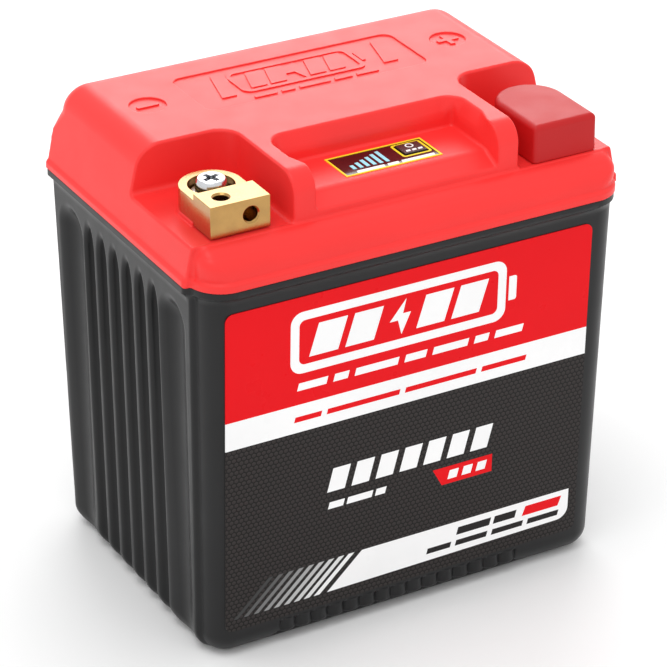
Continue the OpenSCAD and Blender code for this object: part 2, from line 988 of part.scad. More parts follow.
module management_board() {
    color([0.05, 0.3, 0.15])
        translate([0, 0, board_z])
            linear_extrude(pcb_t)
                difference() {
                    square([2 * board_half_l, 2 * board_half_w], center = true);
                    at_standoffs()
                        circle(1.6);
                }
}

module board_screws() {
    color([0.75, 0.75, 0.78])
        at_standoffs()
            translate([0, 0, board_z + pcb_t]) {
                cylinder(h = 2, r = 2.8);
                translate([0, 0, -7])
                    cylinder(h = 7 + eps, r = 1.25);
            }
}

module power_transistors() {
    color([0.08, 0.08, 0.08])
        for (i = [0:4], j = [0, 1])
            translate([-24 + i * 12, -24 + j * 15 + (j > 0 ? 10 : 0), board_z + pcb_t])
                box([-5, -4.5, 0], [5, 4.5, 4.4]);
}

module balance_connector() {
    color([0.92, 0.92, 0.88])
        box([-9, 19, board_z + pcb_t], [9, 26, board_z + pcb_t + 7]);
}

// One sense lead to each bus plate
module balance_leads() {
    top_z = board_z + pcb_t + 3.5;
    y0 = 26;
    plate_top = cell_top + plate_t;
    color([0.75, 0.1, 0.1])
        for (i = [0:2]) {
            x_plate = (i - 1) * 1.5 * cell_pitch;
            lead([[(i - 1) * 4, y0, top_z], [(i - 1) * 4, board_half_w + 3, top_z],
                  [x_plate, cell_pitch + 8, top_z - 2], [x_plate, cell_pitch + 8, plate_top]], lead_r);
        }
    color([0.1, 0.1, 0.1])
        for (side = [-1, 1])
            lead([[side * 7, y0, top_z], [side * 7, y0 + 3, top_z], [side * 7, board_half_w + 6, top_z + 3],
                  [side * cell_pitch, cavity_half_w - 0.6, top_z],
                  [side * cell_pitch, cavity_half_w - 0.6, cell_z]], lead_r);
}

// Copper strap from the positive end plate up to the post
module positive_strap() {
    y0 = term_y - strap_w / 2;
    top_z = seam_h + ledge_under - post_flange_t;
    foot_z = cell_top + plate_t;
    color([0.8, 0.45, 0.25])
        difference() {
            union() {
                box([50, y0, foot_z], [strap_leg_x, y0 + strap_w, foot_z + strap_t]);
                box([strap_leg_x - strap_t, y0, foot_z], [strap_leg_x, y0 + strap_w, top_z]);
                box([term_x - 8, y0, top_z - strap_t], [strap_leg_x, y0 + strap_w, top_z]);
                translate([term_x, term_y, top_z - strap_t])
                    cylinder(h = strap_t, r = 8);
            }
            translate([term_x, term_y, top_z - 5])
                cylinder(h = 10, r = post_r + tiny);
        }
}

// Copper strap from the management board up to the negative post
module negative_strap() {
    y0 = term_y - strap_w / 2;
    top_z = seam_h + ledge_under - post_flange_t;
    foot_z = board_z + pcb_t;
    leg_x = -50;
    color([0.8, 0.45, 0.25])
        difference() {
            union() {
                box([leg_x, y0, foot_z], [-38, y0 + strap_w, foot_z + strap_t]);
                box([leg_x, y0, foot_z], [leg_x + strap_t, y0 + strap_w, top_z]);
                box([-term_x + 5, y0, top_z - strap_t], [leg_x + strap_t, y0 + strap_w, top_z]);
                translate([-term_x, term_y, top_z - strap_t])
                    cylinder(h = strap_t, r = 8);
            }
            translate([-term_x, term_y, top_z - 5])
                cylinder(h = 10, r = post_r + tiny);
        }
}

// Short strap from the negative end plate up to the management board
module pack_strap() {
    foot_z = cell_top + plate_t;
    top_z = board_z + pcb_t;
    color([0.8, 0.45, 0.25]) {
        box([-60, 10, foot_z], [-board_half_l - 0.5, 10 + strap_w, foot_z + 1]);
        box([-board_half_l - 1.5, 10, foot_z], [-board_half_l - 0.5, 10 + strap_w, top_z + 1]);
        box([-board_half_l - 1.5, 10, top_z], [-38, 10 + strap_w, top_z + 1]);
    }
}

// Foam that fills the space between the electronics and the lid
module foam_block() {
    color([0.35, 0.35, 0.38])
        translate([0, (foam_front + foam_back) / 2, board_z + pcb_t + foam_lift])
            linear_extrude(seam_h + lid_h - lid_wall - board_z - pcb_t - foam_lift)
                round_rect(58, (foam_back - foam_front) / 2, 4);
}

// ---------------------------------------------------------------- nodes

case();
lid();
lid_seal();
front_label();
display_frame();
display_lens();
display_bars();
test_button();
push_switch();
indicator_board();
indicator_screws();
indicator_lead();
negative_terminal();
negative_screw();
negative_washer();
negative_post();
negative_strap();
positive_terminal();
positive_screw();
positive_washer();
positive_post();
positive_strap();
positive_cap();
base_pad();
lower_cell_holder();
upper_cell_holder();
lower_bus_plate_a();
lower_bus_plate_b();
upper_bus_plate_a();
upper_bus_plate_b();
upper_bus_plate_c();
cell_insulator();
board_standoffs();
management_board();
power_transistors();
balance_connector();
balance_leads();
board_screws();
pack_strap();
foam_block();
for (n = [1:CELL_COLS * CELL_ROWS])
    cell(n);
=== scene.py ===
"""Looks of a motorcycle battery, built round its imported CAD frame.

Shapes are worked out in millimetres, in the frame's own axes, and turned into metres at the end.
The moulded shells are smooth implicit surfaces: a field that is negative inside, meshed and rounded.
"""

import json
import math

import bmesh
import bpy
import numpy as np
from mathutils import Matrix, Vector
from mathutils.geometry import tessellate_polygon


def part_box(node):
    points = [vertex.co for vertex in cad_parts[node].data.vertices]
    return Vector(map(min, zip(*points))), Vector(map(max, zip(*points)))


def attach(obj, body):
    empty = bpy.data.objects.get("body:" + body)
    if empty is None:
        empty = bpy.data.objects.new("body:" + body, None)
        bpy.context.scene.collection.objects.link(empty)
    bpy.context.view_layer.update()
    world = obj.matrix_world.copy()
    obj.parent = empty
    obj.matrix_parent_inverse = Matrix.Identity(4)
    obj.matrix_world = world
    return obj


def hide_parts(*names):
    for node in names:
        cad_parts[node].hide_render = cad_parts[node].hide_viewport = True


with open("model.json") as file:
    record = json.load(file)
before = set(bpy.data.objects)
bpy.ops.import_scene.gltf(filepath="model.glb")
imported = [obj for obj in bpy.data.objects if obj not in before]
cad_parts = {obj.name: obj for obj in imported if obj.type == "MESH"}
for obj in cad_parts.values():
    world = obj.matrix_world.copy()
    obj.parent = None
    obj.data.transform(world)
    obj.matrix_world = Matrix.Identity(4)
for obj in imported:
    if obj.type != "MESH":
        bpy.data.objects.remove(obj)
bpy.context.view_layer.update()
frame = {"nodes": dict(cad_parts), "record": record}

MM = 0.001


def corners(node):
    """Lowest and highest corner of a CAD node, in millimetres."""
    low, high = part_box(node)
    return np.array(low) / MM, np.array(high) / MM


# ------------------------------------------------------------------ driving sizes, mm
LID_LOW, LID_HIGH = corners("lid")
SEAM = LID_LOW[2]
LID_H = LID_HIGH[2] - SEAM
HALF_L = LID_HIGH[0]
HALF_W = LID_HIGH[1]
POST_HALF_L = HALF_L - 2.5
PANEL_HALF = 52.5
CORNER_R = 12
BLOCK_INSET = 1.4
FLANGE_H = 3
LEDGE_H = 13.6
LID_WALL = 2.4
ROLL_R = 10
END_ROLL_R = 5.5
TOP_ROLL_R = 7.5
SHOULDER_R = 7.6
NOTCH_X = 42.6
NOTCH_Y = -8
RECESS_X = 34.2
RECESS_Y = -23.5
RECESS_H = 20
RECESS_BAND_H = 6
RECESS_BAND_W = 2.5
TERM_X = 61.1
TERM_Y = -30.5
PAD_R = 11.2
POST_R = 6
BUTTON_X = 12.4
BUTTON_Y = -33
MARK_X = 58.6
MARK_Y = 20.4
MARK_R = 6.3
MARK_DEPTH = 0.6
BADGE_X = 42.9
BADGE_Y = (6, 35.3)
BADGE_DEPTH = 0.5
BODY_HALF_L = HALF_L - 2.4
BODY_HALF_W = HALF_W - 2
DRAFT_END = 1.8
DRAFT_SIDE = 3.8
END_DROP = 11
FLUTE_PITCH = 9.7
FLUTE_R = 3.1
COVE_Y = 38.2
COVE_R = 10.4
COVE_DEPTH = 3.2
TOOTH_PITCH = 6.3
TOOTH_COUNT = 15
TOOTH_R = 4.2
TOOTH_LOW = 4.3
TOOTH_TOP = 9
TEETH_X = -4


# ------------------------------------------------------------------ fields
def both(a, b, r=0.0):
    """Where a and b overlap, the edge between them rounded to radius r."""
    return np.minimum(np.maximum(a, b), -r) + np.hypot(np.maximum(a + r, 0), np.maximum(b + r, 0))


def either(a, b, r=0.0):
    """a joined to b, with a fillet of radius r."""
    return -both(-a, -b, r)


def without(a, b, r=0.0):
    """a with b cut away, the edge rounded to radius r."""
    return both(a, -b, r)


def ramp(v, v0, v1, out0, out1):
    """Goes evenly from out0 at v0 to out1 at v1, and stays there."""
    return out0 + (out1 - out0) * np.clip((v - v0) / (v1 - v0), 0, 1)


def half_plane(u, v, u0, v0, u1, v1):
    """Distance from the line through two points, positive on its right."""
    length = math.hypot(u1 - u0, v1 - v0)
    return ((u - u0) * (v1 - v0) - (v - v0) * (u1 - u0)) / length


def lid_plateau(ax, ay, h):
    """End panels and raised top, one profile along Y with rounded ends."""
    lower = half_plane(ax, h, HALF_L - 0.8, FLANGE_H, HALF_L - 2.5, LEDGE_H)
    upper = half_plane(ax, h, HALF_L - 2.5, LEDGE_H, HALF_L - 4.8, 21.6)
    profile = both(both(lower, upper, 3), h - LID_H, SHOULDER_R)
    return both(profile, ay - PANEL_HALF, ramp(h, 14, 21, 0.9, TOP_ROLL_R))


def lid_rolls(ax, ay, h):
    """Lower block with rolled front, rear and corners."""
    roll = both(ay - (HALF_W - BLOCK_INSET), h - LEDGE_H, ROLL_R)
    ends = both(ax - (POST_HALF_L - BLOCK_INSET), h - LEDGE_H, END_ROLL_R)
    mitre = np.interp(h, [3, 11, LEDGE_H], [CORNER_R - BLOCK_INSET, 4, 0])
    return both(roll, ends, mitre)


def lid_flange(ax, ay, h, grow=0.0):
    """Band at the seam, round corner posts and proud end panels."""
    posts = both(ax - POST_HALF_L - grow, ay - HALF_W - grow, CORNER_R)
    panels = both(ax - HALF_L - grow, ay - PANEL_HALF - grow, 1.5)
    return both(either(posts, panels, 0.8), h - FLANGE_H, 0.9)


def notch(ax, y, h):
    """Open corner that a terminal stands in."""
    plan = both(NOTCH_X - ax, y - NOTCH_Y, 8)
    room = np.maximum(plan, -PANEL_HALF - 0.6 - y)
    return both(room, LEDGE_H - h, 2)


def recess(ax, y, h, corner):
    """Room for the indicator, its floor sloping down at the front."""
    plan = np.maximum(both(ax - RECESS_X, y - RECESS_Y, corner), -PANEL_HALF - 0.6 - y)
    slope = half_plane(y, h, -PANEL_HALF, 16.4, -44.6, RECESS_H)
    floor = both(h - RECESS_H, -slope, 0.6)
    return both(plan, -floor, 1.2)


def terminal_pad(ax, y, h):
    """Low round-backed pad under a terminal."""
    plan = np.minimum(np.hypot(ax - TERM_X, y - TERM_Y) - PAD_R,
                      np.maximum(abs(ax - TERM_X) - PAD_R, y - TERM_Y))
    plan = np.maximum(plan, -38.6 - y)
    return both(plan, h - LEDGE_H - 1.6, 0.5)


def lid_field(x, y, z):
    """The whole lid: outside, cuts, hollow and holes."""
    ax, ay, h = abs(x), abs(y), z - SEAM
    solid = either(lid_rolls(ax, ay, h), lid_plateau(ax, ay, h), 1.2)
    solid = without(solid, notch(ax, y, h), 1)
    lean = ramp(y, -46, -38, 0, RECESS_BAND_W) / RECESS_BAND_H
    band = (lean * (h - LID_H + RECESS_BAND_H) - recess(ax, y, h, 4.5)) * 0.92
    solid = both(without(solid, recess(ax, y, h, 1.5), 0.8), band, 0.6)
    solid = either(solid, lid_flange(ax, ay, h), 0.8)
    inside = solid + LID_WALL
    solid = either(solid, np.maximum(terminal_pad(ax, y, h), LEDGE_H - 2 - h), 0.6)
    badge_mid, badge_half = sum(BADGE_Y) / 2, (BADGE_Y[1] - BADGE_Y[0]) / 2
    badge = np.maximum(both(ax - BADGE_X, abs(y - badge_mid) - badge_half, 4), LID_H - BADGE_DEPTH - h)
    solid = without(solid, badge, 0.25)
    dish = np.maximum(np.hypot(ax - MARK_X, y - MARK_Y) - MARK_R, LID_H - MARK_DEPTH - h)
    solid = without(solid, dish, 0.25)
    button_hole = np.maximum(abs(x - BUTTON_X) - 4.6, abs(y - BUTTON_Y) - 3.9)
    post_hole = np.hypot(ax - TERM_X, y - TERM_Y) - POST_R
    hollow = np.minimum(np.minimum(inside, button_hole), post_hole)
    solid = np.maximum(solid, -hollow)
    return both(solid, -h, 0.35)


def case_walls(ax, ay, z):
    """Corner posts and proud end panels, leaning out from base to seam."""
    rise = 1 - z / SEAM
    post_x = ax - (POST_HALF_L - 1.8 - DRAFT_END * rise)
    side_y = ay - (BODY_HALF_W - DRAFT_SIDE * rise)
    posts = both(both(post_x, side_y, 9), -z, 8)
    panel_x = ax - (BODY_HALF_L - DRAFT_END * rise)
    panel_y = ay - (PANEL_HALF - DRAFT_SIDE * rise)
    panels = both(both(panel_x, -z, 8.5), panel_y, 1.4)
    return np.maximum(either(posts, panels, 0.9), -z)


def case_collar(ax, ay, z):
    """Collar under the seam, its lower edge sloping back to the wall."""
    level = SEAM - 2.4
    plan = lid_flange(ax, ay, -50, -0.3)
    return np.maximum(plan, (plan + 1.25 * (level - z)) / 1.6)


def flutes(ax, y, z):
    """Narrow flutes of the end panels, and the wide coves beside them."""
    mean = BODY_HALF_L - DRAFT_END / 2
    top = SEAM - END_DROP
    slot = (np.clip(np.round((y / FLUTE_PITCH) - 0.5), -3, 2) + 0.5) * FLUTE_PITCH
    depth = (ax - mean - 0.4) / 1.25
    narrow = np.sqrt(depth ** 2 + (y - slot) ** 2 + np.maximum(z - top + 10, 0) ** 2 * 0.12) - FLUTE_R
    mid = mean - COVE_DEPTH + COVE_R
    wide = np.sqrt((ax - mid) ** 2 + (abs(y) - COVE_Y) ** 2 + np.maximum(z - top + 8, 0) ** 2) - COVE_R
    return narrow, wide


def tooth_row(x, ay, z):
    """The pocket along a bottom edge, and the scalloped teeth that stand in it."""
    face = BODY_HALF_W - DRAFT_SIDE - TOOTH_PITCH / 2 + 0.6
    half = TOOTH_PITCH * TOOTH_COUNT / 2
    reach = abs(x - TEETH_X) - half
    pocket = np.maximum(np.maximum(reach - np.maximum(4.8 - z, 0), z - TOOTH_TOP), face - ay)
    along = np.mod(x - TEETH_X + half, TOOTH_PITCH) - TOOTH_PITCH / 2
    scallop = np.hypot(along, ay - face - TOOTH_PITCH / 2 + TOOTH_R) - TOOTH_R
    tooth = both(scallop, TOOTH_LOW - z, 0.8)
    tooth = np.maximum(np.maximum(tooth, reach), z - TOOTH_TOP - 0.5)
    return pocket, tooth


def case_field(x, y, z):
    """The whole case: walls, collar, flutes, teeth and hollow."""
    ax, ay = abs(x), abs(y)
    solid = either(case_walls(ax, ay, z), case_collar(ax, ay, z), 1.5)
    narrow, wide = flutes(ax, y, z)
    solid = without(solid, wide, 1.6)
    solid = without(solid, narrow, 1.3)
    pocket, tooth = tooth_row(x, ay, z)
    solid = without(solid, pocket, 0.7)
    solid = either(solid, tooth, 0.3)
    relief = np.maximum(abs(x - TEETH_X) - 47.2, z - 1)
    solid = without(solid, relief, 0.3)
    room_x = ax - 72.9 - 1.6 * z / SEAM
    room_y = ay - 52.6 - 5.2 * z / SEAM
    room = both(both(room_x, room_y, 4), 3 - z, 3)
    solid = np.maximum(solid, -room)
    return np.maximum(both(solid, z - SEAM, 0.35), -z)


CAP_LOW, CAP_HIGH = corners("positive_cap")


def cap_field(x, y, z):
    """Soft cover with a round back, slightly narrower at the top."""
    mid_x = (CAP_LOW[0] + CAP_HIGH[0]) / 2
    r = (CAP_HIGH[0] - CAP_LOW[0]) / 2
    mid_y = CAP_HIGH[1] - r
    dx, dy = x - mid_x, y - mid_y
    taper = 0.012 * (z - CAP_LOW[2])
    plan = np.where(dy > 0, np.hypot(dx, dy) - r, both(abs(dx) - r, CAP_LOW[1] - y, 1.6))
    outer = both(plan + taper, z - CAP_HIGH[2], 2)
    shell = np.maximum(plan + 1.4, z - CAP_HIGH[2] + 1.0)
    pad = np.maximum(plan + 0.95, z - SEAM - LEDGE_H - 2)
    return both(np.maximum(outer, -np.minimum(shell, pad)), CAP_LOW[2] - z, 0.2)


# ------------------------------------------------------------------ meshing
def gradient(field, points, h=0.02):
    """Slope of a field at each point."""
    slope = np.empty_like(points)
    for axis in range(3):
        ahead, behind = points.copy(), points.copy()
        ahead[:, axis] += h
        behind[:, axis] -= h
        slope[:, axis] = (field(*ahead.T) - field(*behind.T)) / (2 * h)
    return slope


def settle(field, points, limit, rounds=3):
    """Moves points on to the surface where the field is zero."""
    for _ in range(rounds):
        slope = gradient(field, points)
        step = -(field(*points.T) / np.maximum((slope ** 2).sum(1), 0.05))[:, None] * slope
        points = points + np.clip(step, -limit, limit)
    return points


def net(field, axes):
    """Surface net: a vertex in each grid cell that the surface crosses, a quad round each crossed edge."""
    grid = np.meshgrid(*axes, indexing="ij", sparse=True)
    shape = tuple(len(a) for a in axes)
    value = np.broadcast_to(field(*grid), shape).astype(np.float32)
    cells = np.array([n - 1 for n in shape])
    total = int(cells.prod())
    strides = np.array([cells[1] * cells[2], cells[2], 1])
    sums, hits, quads = np.zeros((total, 3)), np.zeros(total), []
    for axis in range(3):
        lead = [slice(None)] * 3
        tail = [slice(None)] * 3
        lead[axis], tail[axis] = slice(0, -1), slice(1, None)
        a, b = value[tuple(lead)], value[tuple(tail)]
        at = np.argwhere((a < 0) != (b < 0))
        v0, v1 = a[tuple(at.T)], b[tuple(at.T)]
        where = np.stack([axes[k][at[:, k]] for k in range(3)], 1)
        share = v0 / (v0 - v1)
        where[:, axis] += share * (axes[axis][at[:, axis] + 1] - axes[axis][at[:, axis]])
        u, v = (axis + 1) % 3, (axis + 2) % 3
        ring = []
        for du, dv in ((0, 0), (-1, 0), (-1, -1), (0, -1)):
            cell = at.copy()
            cell[:, u] += du
            cell[:, v] += dv
            index = cell @ strides
            ring.append(index)
            for k in range(3):
                sums[:, k] += np.bincount(index, where[:, k], total)
            hits += np.bincount(index, minlength=total)
        ring = np.stack(ring, 1)
        quads.append(np.where((v0 < 0)[:, None], ring, ring[:, ::-1]))
    used = np.flatnonzero(hits)
    number = np.full(total, -1)
    number[used] = np.arange(len(used))
    return sums[used] / hits[used, None], number[np.concatenate(quads)]


def mesh_object(name, points, faces):
    """An object from points in millimetres."""
    mesh = bpy.data.meshes.new(name)
    mesh.from_pydata((np.asarray(points) * MM).tolist(), [], [list(map(int, f)) for f in faces])
    mesh.validate()
    obj = bpy.data.objects.new(name, mesh)
    bpy.context.scene.collection.objects.link(obj)
    return obj


def coordinates(mesh):
    """Vertex positions as an array."""
    co = np.empty(len(mesh.vertices) * 3)
    mesh.vertices.foreach_get("co", co)
    return co.reshape(-1, 3)


def moulded(name, field, axes, keep):
    """A smooth closed shell from a field, thinned where it is flat, with normals taken from the field."""
    points, quads = net(field, axes)
    cell = min(float(np.diff(a).min()) for a in axes)
    points = settle(field, points, cell)
    obj = mesh_object(name, points, quads)
    thin = obj.modifiers.new("thin", "DECIMATE")
    thin.ratio = keep
    evaluated = obj.evaluated_get(bpy.context.evaluated_depsgraph_get())
    mesh = bpy.data.meshes.new_from_object(evaluated)
    obj.modifiers.clear()
    obj.data = mesh
    points = settle(field, coordinates(mesh) / MM, 0.1, 2)
    mesh.vertices.foreach_set("co", (points * MM).ravel())
    slope = gradient(field, points, 0.05)
    slope /= np.maximum(np.linalg.norm(slope, axis=1), 1e-6)[:, None]
    mesh.shade_smooth()
    mesh.normals_split_custom_set_from_vertices(slope.tolist())
    return obj


def spaced(*stretches):
    """Grid lines from (start, end, step) stretches that follow one another."""
    lines = [np.linspace(a, b, max(2, int(round((b - a) / step)) + 1))[:-1] for a, b, step in stretches]
    return np.concatenate(lines + [[stretches[-1][1]]])


# ------------------------------------------------------------------ flat shapes
def arc(cx, cy, r, start, end, steps=8):
    """Points on an arc, angles in degrees."""
    turns = [math.radians(start + (end - start) * i / steps) for i in range(steps + 1)]
    return [(cx + r * math.cos(t), cy + r * math.sin(t)) for t in turns]


def rounded(x0, y0, x1, y1, radii, steps=8):
    """Rectangle with a radius at each corner, anticlockwise from the lower left."""
    a, b, c, d = radii
    return (arc(x0 + a, y0 + a, a, 180, 270, steps) + arc(x1 - b, y0 + b, b, 270, 360, steps)
            + arc(x1 - c, y1 - c, c, 0, 90, steps) + arc(x0 + d, y1 - d, d, 90, 180, steps))


def slanted(x0, y0, x1, y1, lean):
    """Parallelogram whose top is pushed sideways."""
    return [(x0, y0), (x1, y0), (x1 + lean, y1), (x0 + lean, y1)]


def bolt(cx, cy, size):
    """A plain lightning bolt."""
    shape = ((0.10, -1.0), (0.62, 0.18), (0.16, 0.18), (0.34, 1.0), (-0.60, -0.16), (-0.12, -0.16))
    return [(cx + size * u, cy + size * v) for u, v in shape]


def plate(name, shapes, low, high, place):
    """Closed thin solids from outlines. Each shape is a list of loops, the first one its outside.
    place turns (u, v, level) into a point in millimetres."""
    points, faces = [], []
    for loops in shapes:
        base = len(points)
        flat = [p for loop in loops for p in loop]
        count = len(flat)
        points += [place(u, v, low) for u, v in flat] + [place(u, v, high) for u, v in flat]
        rings = [[Vector((u, v, 0)) for u, v in loop] for loop in loops]
        for a, b, c in tessellate_polygon(rings):
            top = base + count
            faces += [(base + a, base + b, base + c), (top + c, top + b, top + a)]
        start = 0
        for loop in loops:
            n = len(loop)
            for i in range(n):
                a, b = base + start + i, base + start + (i + 1) % n
                faces.append((a, b, b + count, a + count))
            start += n
    obj = mesh_object(name, points, faces)
    straighten(obj.data)
    return obj


def straighten(mesh):
    """Makes every face look outwards."""
    work = bmesh.new()
    work.from_mesh(mesh)
    bmesh.ops.remove_doubles(work, verts=work.verts, dist=1e-6)
    bmesh.ops.recalc_face_normals(work, faces=work.faces)
    work.to_mesh(mesh)
    work.free()


def level_place(u, v, level):
    """A point on a level face."""
    return (u, v, level)


LABEL_LOW, LABEL_HIGH = corners("front_label")


def front_place(u, v, level):
    """A point on the leaning front of the case, level millimetres proud of it."""
    return (u, -(BODY_HALF_W - DRAFT_SIDE * (1 - v / SEAM)) - level, v)


def crisp(node, name, width, steps=3):
    """A copy of a CAD node with its edges broken."""
    mesh = frame["nodes"][node].data.copy()
    work = bmesh.new()
    work.from_mesh(mesh)
    bmesh.ops.remove_doubles(work, verts=work.verts, dist=1e-6)
    bmesh.ops.dissolve_limit(work, angle_limit=math.radians(2), verts=work.verts, edges=work.edges)
    work.to_mesh(mesh)
    work.free()
    for layer in list(mesh.attributes):
        if layer.name == "custom_normal":
            mesh.attributes.remove(layer)
    obj = bpy.data.objects.new(name, mesh)
    bpy.context.scene.collection.objects.link(obj)
    edge = obj.modifiers.new("edge", "BEVEL")
    edge.width, edge.segments = width * MM, steps
    edge.limit_method, edge.angle_limit = "ANGLE", math.radians(40)
    edge.harden_normals = True
    mesh.shade_smooth()
    evaluated = obj.evaluated_get(bpy.context.evaluated_depsgraph_get())
    obj.data = bpy.data.meshes.new_from_object(evaluated)
    obj.modifiers.clear()
    return obj


# ------------------------------------------------------------------ materials
class Paint:
    """A material being built: a few short helpers round its node tree."""

    def __init__(self, name, **shader):
        self.material = bpy.data.materials.new(name)
        self.material.use_nodes = True
        self.tree = self.material.node_tree
        self.shader = self.tree.nodes["Principled BSDF"]
        self.place = self.node("ShaderNodeTexCoord").outputs["Object"]
        for key, value in shader.items():
            self.feed(self.shader.inputs[key.replace("_", " ")], value)

    def feed(self, socket, value):
        if isinstance(value, bpy.types.NodeSocket):
            self.tree.links.new(value, socket)
        else:
            socket.default_value = value

    def node(self, kind, inputs=(), **settings):
        made = self.tree.nodes.new(kind)
        for key, value in settings.items():
            setattr(made, key, value)
        for key, value in dict(inputs).items():
            self.feed(made.inputs[key], value)
        return made

    def noise(self, size, detail=2.0, place=None, rough=0.5):
        """Noise whose features are about size millimetres across."""
        inputs = {"Vector": place or self.place, "Scale": 1 / (size * MM), "Detail": detail,
                  "Roughness": rough}
        return self.node("ShaderNodeTexNoise", inputs).outputs["Fac"]

    def stretched(self, x, y, z):
        """Place, scaled along each axis."""
        return self.node("ShaderNodeMapping", {"Vector": self.place, "Scale": (x, y, z)}).outputs[0]

    def map(self, value, low, high, out_low, out_high):
        inputs = {"Value": value, "From Min": low, "From Max": high, "To Min": out_low, "To Max": out_high}
        return self.node("ShaderNodeMapRange", inputs).outputs[0]

    def math(self, operation, a, b=0.0):
        return self.node("ShaderNodeMath", {0: a, 1: b}, operation=operation).outputs[0]

    def vector(self, operation, *values):
        made = self.node("ShaderNodeVectorMath", operation=operation)
        for i, value in enumerate(values):
            self.feed(made.inputs[i], value)
        return made.outputs["Value" if operation in ("LENGTH", "DOT_PRODUCT") else "Vector"]

    def mix(self, share, a, b):
        made = self.node("ShaderNodeMix", data_type="RGBA")
        self.feed(made.inputs[0], share)
        self.feed(made.inputs[6], a)
        self.feed(made.inputs[7], b)
        return made.outputs[2]

    def bump(self, height, depth, strength=1.0, under=None):
        inputs = {"Height": height, "Distance": depth * MM, "Strength": strength}
        if under is not None:
            inputs["Normal"] = under
        return self.node("ShaderNodeBump", inputs).outputs[0]

    def base(self, value):
        self.feed(self.shader.inputs["Base Color"], value)

    def roughness(self, value):
        self.feed(self.shader.inputs["Roughness"], value)

    def normal(self, value):
        self.feed(self.shader.inputs["Normal"], value)


def tint(colour, share):
    """A colour made lighter or darker."""
    return tuple(min(1, c * share) for c in colour[:3]) + (1,)


def moulding(name, colour, rough, grain=0.5, depth=0.01, spread=0.06, **shader):
    """Moulded plastic or rubber: fine grain, slow changes of colour and gloss."""
    paint = Paint(name, **shader)
    slow = paint.noise(34, 3)
    paint.base(paint.mix(paint.map(slow, 0.3, 0.7, 0, 1), tint(colour, 1 - spread), tint(colour, 1 + spread)))
    patch = paint.noise(9, 4)
    paint.roughness(paint.map(patch, 0.3, 0.7, rough - 0.035, rough + 0.045))
    paint.normal(paint.bump(paint.noise(grain, 2), depth))
    return paint.material


def machined(name, colour, rough, along, lines=0.12, depth=0.004, spread=0.1, **shader):
    """Metal with fine tool marks along one direction and a little tarnish."""
    paint = Paint(name, Metallic=1.0, **shader)
    marks = paint.noise(lines, 3, paint.stretched(*along))
    tarnish = paint.map(paint.noise(5, 5), 0.35, 0.7, 0, 1)
    paint.base(paint.mix(tarnish, tint(colour, 1 + spread), tint(colour, 1 - spread)))
    paint.roughness(paint.math("ADD", paint.map(marks, 0.3, 0.7, rough - 0.05, rough + 0.05),
                               paint.map(tarnish, 0, 1, 0, 0.06)))
    paint.normal(paint.bump(marks, depth))
    return paint.material


def honeycomb(name, pitch, dark, light):
    """Printed film with a fine honeycomb, each cell shaded from top to bottom."""
    paint = Paint(name, Specular_IOR_Level=0.15)
    half = (0.5, 0.5 * math.sqrt(3), 0.5)
    low = tuple(-h for h in half)
    parts = paint.node("ShaderNodeSeparateXYZ", {0: paint.place})
    flat = paint.node("ShaderNodeCombineXYZ", {0: parts.outputs[0], 1: parts.outputs[2]}).outputs[0]
    cells = paint.vector("SCALE", flat)
    cells.node.inputs["Scale"].default_value = 1 / (pitch * MM)
    first = paint.vector("WRAP", cells, half, low)
    second = paint.vector("WRAP", paint.vector("SUBTRACT", cells, half), half, low)
    nearer = paint.math("LESS_THAN", paint.vector("LENGTH", first), paint.vector("LENGTH", second))
    local = paint.node("ShaderNodeMix", data_type="VECTOR")
    paint.feed(local.inputs[0], nearer)
    paint.feed(local.inputs[4], second)
    paint.feed(local.inputs[5], first)
    away = paint.node("ShaderNodeSeparateXYZ", {0: local.outputs[1]})
    across = paint.math("ABSOLUTE", away.outputs[0])
    slope = paint.vector("DOT_PRODUCT", paint.vector("ABSOLUTE", local.outputs[1]), (0.5, 0.866, 0))
    edge = paint.math("MAXIMUM", across, slope)
    inner = paint.map(edge, 0.34, 0.44, 1, 0)
    shade = paint.map(away.outputs[1], -0.4, 0.5, 0.45, 1)
    share = paint.math("MULTIPLY", inner, shade)
    paint.base(paint.mix(share, dark, light))
    paint.roughness(paint.map(paint.noise(7, 3), 0.3, 0.7, 0.34, 0.44))
    paint.normal(paint.bump(paint.noise(0.9, 2), 0.006))
    return paint.material


def printed(name, colour, rough=0.3):
    """Glossy printed film, slightly uneven."""
    return moulding(name, colour, rough, grain=1.4, depth=0.006, spread=0.025, Specular_IOR_Level=0.12)


def foam(name, colour):
    """Open-cell foam."""
    paint = Paint(name)
    pores = paint.node("ShaderNodeTexVoronoi", {"Vector": paint.place, "Scale": 700.0}).outputs["Distance"]
    # Painted shade: the colour is darker at the pore centres, which the bump below sinks, and lighter on the
    # ridges between them.
    paint.base(paint.mix(paint.map(pores, 0.1, 0.6, 0, 1), tint(colour, 0.5), tint(colour, 1.3)))
    paint.roughness(paint.map(pores, 0, 0.6, 0.95, 0.8))
    paint.normal(paint.bump(pores, 0.3))
    return paint.material


# ------------------------------------------------------------------ paints
PRINT_RED = (0.80, 0.003, 0.008, 1)
LID_RED = (0.91, 0.038, 0.036, 1)
CAP_RED = (0.50, 0.012, 0.013, 1)
CASE_BLACK = (0.010, 0.010, 0.0105, 1)
WHITE = (0.95, 0.95, 0.95, 1)
SUN_YELLOW = (0.95, 0.74, 0.03, 1)
BRASS = (0.46, 0.26, 0.075, 1)

